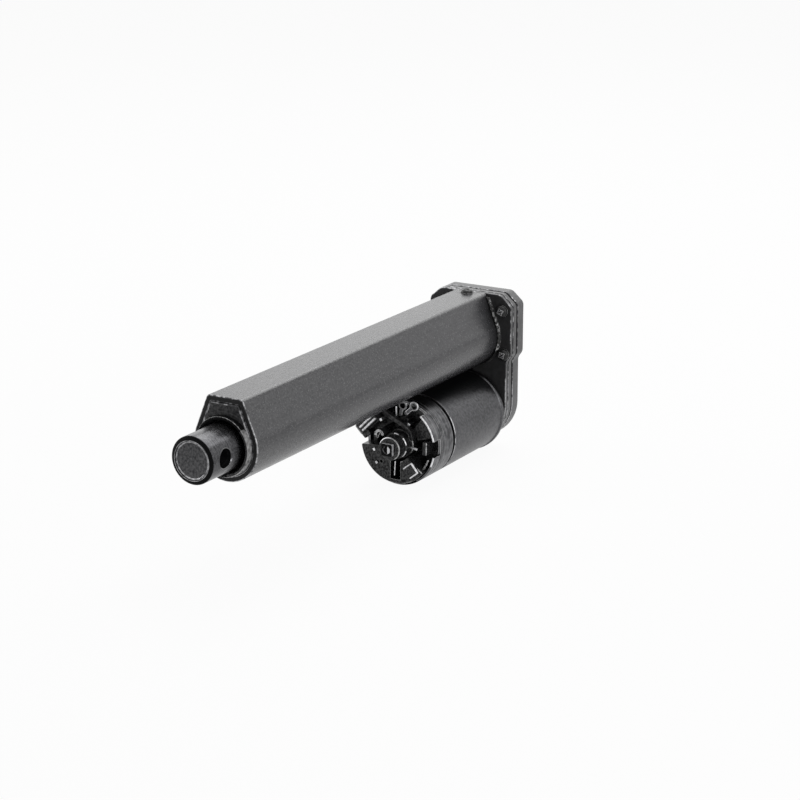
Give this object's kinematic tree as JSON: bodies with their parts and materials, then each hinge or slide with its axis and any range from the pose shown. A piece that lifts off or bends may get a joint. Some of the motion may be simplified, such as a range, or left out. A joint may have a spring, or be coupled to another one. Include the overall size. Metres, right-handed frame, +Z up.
{
  "type": "electric linear actuator",
  "caption": "Electric linear actuator: flat-topped cover tube with a sliding rod, a gear case at its rear and a motor slung under the tube.",
  "frame": {"origin": "middle of the rear pin hole", "axes": "+X the way the rod extends, +Y along both pin holes, +Z up, with the motor below"},
  "size_m": [0.2049, 0.0342, 0.0618],
  "materials": {
    "tube_paint": "satin black coating on drawn aluminium",
    "case_paint": "semi-matt black coating on die-cast metal",
    "rod_steel": "dark satin finish on ground steel tube",
    "motor_steel": "dark zinc on drawn steel",
    "cap_plastic": "moulded black glass-filled nylon",
    "plug_plastic": "moulded dark acetal",
    "black_rubber": "moulded nitrile rubber",
    "grey_sealer": "cured grey sealing compound",
    "black_screw": "black oxide",
    "bright_steel": "ground",
    "brass": "stamped",
    "tinned_brass": "tin plate on stamped brass",
    "bronze": "sintered",
    "copper": "enamelled wire",
    "nylon": "natural acetal",
    "ferrite": "pressed ferrite",
    "core_iron": "stacked laminations",
    "carbon": "pressed carbon"
  },
  "bodies": {
    "housing": {"cover_tube": "tube_paint", "front_plug": "plug_plastic", "guide_bush": "nylon", "rod_wiper": "black_rubber", "front_bumper": "black_rubber", "tube_seal": "grey_sealer", "tube_screw": "black_screw", "bearing_housing": "case_paint", "bearing_outer_ring": "bright_steel", "bearing_balls": "bright_steel", "rear_bumper": "black_rubber", "front_plate": "case_paint", "gear_case": "case_paint", "case_gasket": "black_rubber", "rear_cover": "case_paint", "case_screws": "black_screw", "plate_screws": "black_screw", "idler_pin": "bright_steel", "motor_can": "motor_steel", "motor_band": "motor_steel", "motor_magnets": "ferrite", "motor_screws": "black_screw", "can_bush": "bronze", "brush_cap": "cap_plastic", "cap_bush": "bronze", "brush_boxes": "brass", "carbon_brushes": "carbon", "brush_springs": "bright_steel", "motor_terminals": "tinned_brass"},
    "rod": {"extension_tube": "rod_steel", "rod_end_plug": "rod_steel", "drive_nut": "bronze", "nut_carrier": "plug_plastic", "nut_pins": "bright_steel"},
    "screw": {"lead_screw": "bright_steel", "screw_tip_guide": "nylon", "output_gear": "nylon", "gear_pin": "bright_steel", "bearing_inner_ring": "bright_steel"},
    "idler": {"idler_wheel": "nylon", "idler_pinion": "bright_steel"},
    "armature": {"motor_shaft": "bright_steel", "motor_pinion": "brass", "armature_core": "core_iron", "armature_windings": "copper", "commutator": "copper", "star_washer": "black_screw"}
  },
  "joints": [
    {"name": "rod_slide", "type": "slide", "parent": "housing", "child": "rod", "axis": [1, 0, 0], "range_m": [0, 0.1016]},
    {"name": "screw_spin", "type": "hinge", "parent": "housing", "child": "screw", "pos_m": [0, 0, 0], "axis": [-1, 0, 0], "range_deg": [0, 11520.01]},
    {"name": "idler_spin", "type": "hinge", "parent": "housing", "child": "idler", "pos_m": [0, 0, -0.0141], "axis": [-1, 0, 0], "range_deg": [-30129.24, 0]},
    {"name": "armature_spin", "type": "hinge", "parent": "housing", "child": "armature", "pos_m": [0, 0, -0.0291], "axis": [-1, 0, 0], "range_deg": [0, 95409.23]}
  ],
  "couplings": [
    {"joint": "screw_spin", "follows": "rod_slide", "rad_per_m": 1979},
    {"joint": "idler_spin", "follows": "rod_slide", "rad_per_m": -5175.7},
    {"joint": "armature_spin", "follows": "rod_slide", "rad_per_m": 16390}
  ]
}
